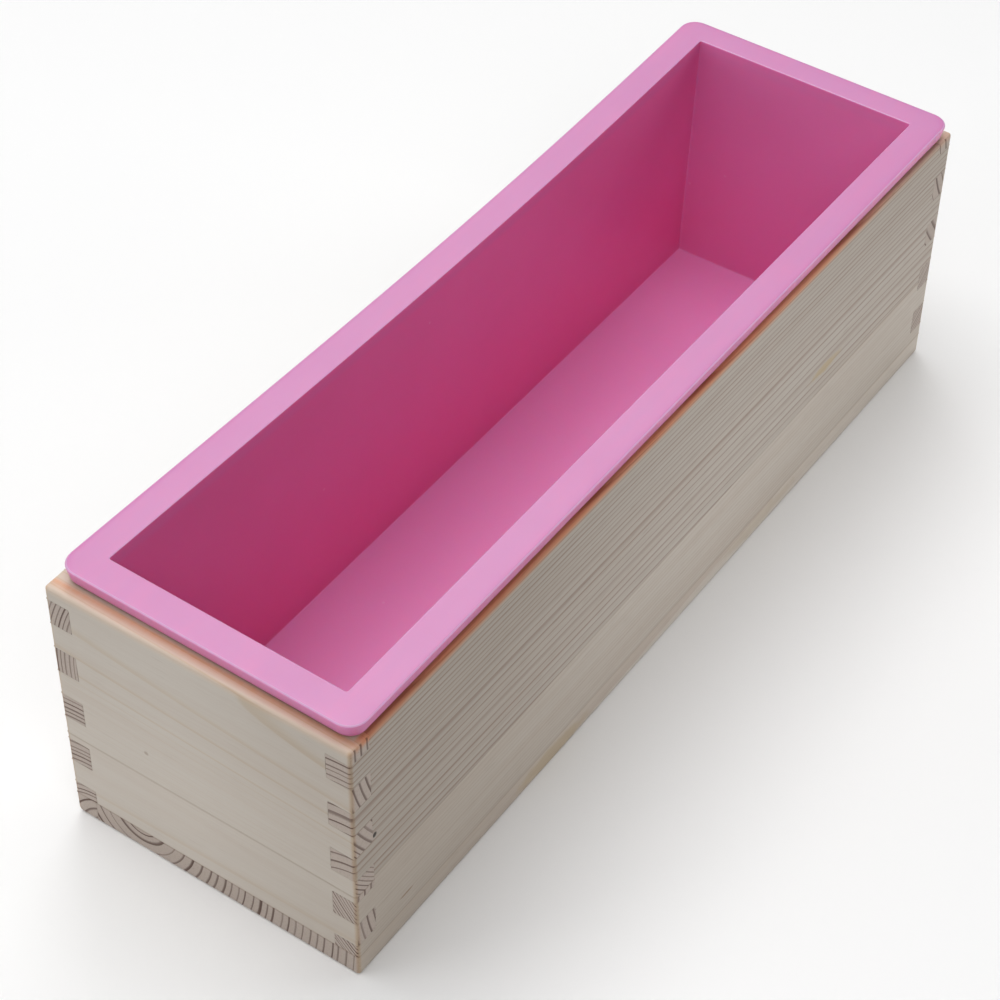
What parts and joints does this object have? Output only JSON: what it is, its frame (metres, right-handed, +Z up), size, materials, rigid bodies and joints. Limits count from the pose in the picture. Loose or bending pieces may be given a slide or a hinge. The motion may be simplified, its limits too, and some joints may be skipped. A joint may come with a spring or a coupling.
{
  "type": "soap loaf mould",
  "caption": "Finger-jointed softwood box, edge-glued boards, with a loose flanged silicone loaf liner that lifts out.",
  "frame": {"origin": "centre of the underside of the base board", "axes": "+X along the length of the loaf, +Y across the width, +Z up out of the open mouth"},
  "size_m": [0.28, 0.088, 0.0856],
  "materials": {
    "pine_base": "sanded, unfinished",
    "pine_long_boards": "sanded, unfinished",
    "pine_end_boards": "sanded, unfinished",
    "pink_silicone": "satin moulded silicone"
  },
  "bodies": {
    "box": {"base_panel": "pine_base", "base_strip": "pine_base", "front_board_upper": "pine_long_boards", "front_board_lower": "pine_long_boards", "back_board_upper": "pine_long_boards", "back_board_lower": "pine_long_boards", "left_end_upper": "pine_end_boards", "left_end_lower": "pine_end_boards", "right_end_upper": "pine_end_boards", "right_end_lower": "pine_end_boards"},
    "liner": {"silicone_liner": "pink_silicone"}
  },
  "joints": [
    {"name": "liner_lift", "type": "slide", "parent": "box", "child": "liner", "axis": [0, 0, 1], "range_m": [0, 0.1]}
  ]
}
